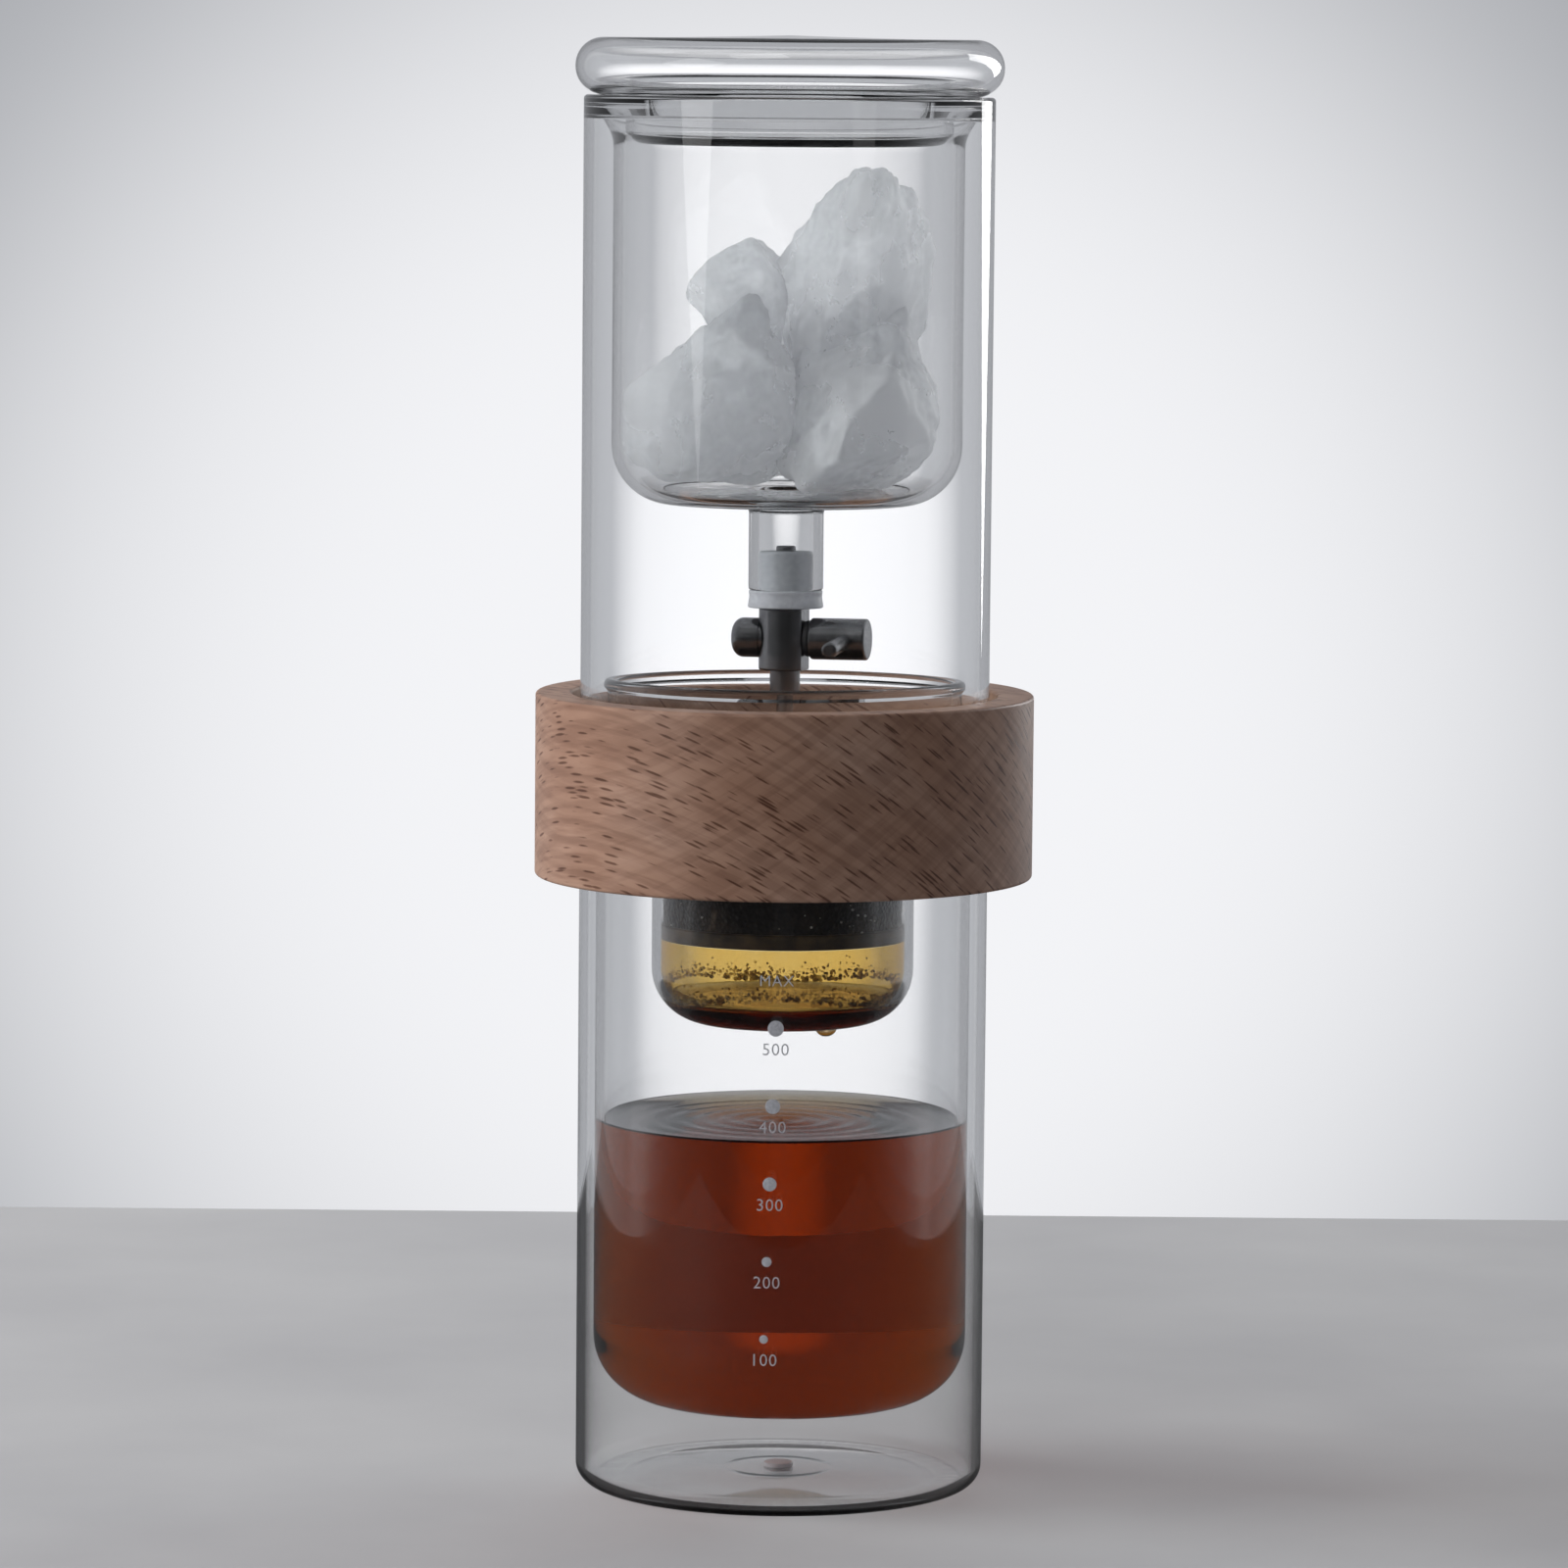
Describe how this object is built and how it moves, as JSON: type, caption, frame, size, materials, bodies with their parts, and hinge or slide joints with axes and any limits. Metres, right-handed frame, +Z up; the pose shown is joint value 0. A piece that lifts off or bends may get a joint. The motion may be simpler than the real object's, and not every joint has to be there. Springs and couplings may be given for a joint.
{
  "type": "cold drip coffee tower",
  "caption": "Stacked glass cold drip coffee maker: double-walled carafe, wooden collar with drip cup and filter, water chamber with ice well and lever valve, hollow lid.",
  "frame": {"origin": "middle of the carafe's foot, on the surface it stands on", "axes": "+Z up the tower; -Y is the side with the printed scale; the valve's lever points that way"},
  "size_m": [0.117, 0.117, 0.3411],
  "materials": {
    "clear_glass": "clear, fire-polished",
    "silicone": "translucent, satin",
    "coffee": "clear liquid",
    "grounds": "wet, coarse",
    "beech": "turned beech, oiled",
    "filter_steel": "perforated sheet",
    "ice": "cloudy, wet",
    "water": "clear liquid",
    "valve_steel": "dark, polished",
    "black_rubber": "satin"
  },
  "bodies": {
    "carafe": {"carafe_glass": "clear_glass", "carafe_vent_plug": "silicone", "brewed_coffee": "coffee"},
    "collar": {"wooden_collar": "beech"},
    "drip_cup": {"drip_cup_glass": "clear_glass", "cup_coffee": "coffee"},
    "filter": {"filter_plate": "filter_steel", "filter_seal": "silicone", "coffee_grounds": "grounds"},
    "water_chamber": {"chamber_glass": "clear_glass", "ice_front_left": "ice", "ice_front_right": "ice", "ice_back": "ice", "ice_round": "ice", "ice_peak": "ice", "melt_water": "water"},
    "lid": {"lid_glass": "clear_glass"},
    "valve": {"valve_stopper": "silicone", "inlet_tube": "valve_steel", "valve_body": "valve_steel", "valve_cap": "valve_steel", "spout": "valve_steel", "drip_nozzle": "valve_steel"},
    "valve_turn": {"valve_plug": "valve_steel", "plug_orings": "black_rubber", "plug_clip": "valve_steel", "stem_washer": "black_rubber", "valve_knob": "valve_steel", "lever_pin": "valve_steel"}
  },
  "joints": [
    {"name": "collar_lift", "type": "slide", "parent": "carafe", "child": "collar", "axis": [0, 0, 1], "range_m": [0, 0.06]},
    {"name": "cup_lift", "type": "slide", "parent": "collar", "child": "drip_cup", "axis": [0, 0, 1], "range_m": [0, 0.085]},
    {"name": "filter_lift", "type": "slide", "parent": "drip_cup", "child": "filter", "axis": [0, 0, 1], "range_m": [0, 0.07]},
    {"name": "chamber_lift", "type": "slide", "parent": "filter", "child": "water_chamber", "axis": [0, 0, 1], "range_m": [0, 0.03]},
    {"name": "lid_lift", "type": "slide", "parent": "water_chamber", "child": "lid", "axis": [0, 0, 1], "range_m": [0, 0.03]},
    {"name": "valve_pull", "type": "slide", "parent": "water_chamber", "child": "valve", "axis": [0, 0, -1], "range_m": [0, 0.012]},
    {"name": "lever_turn", "type": "hinge", "parent": "valve", "child": "valve_turn", "pos_m": [0, 0, 0.2016], "axis": [0.9703, -0.2419, 0], "range_deg": [-90, 90]}
  ]
}
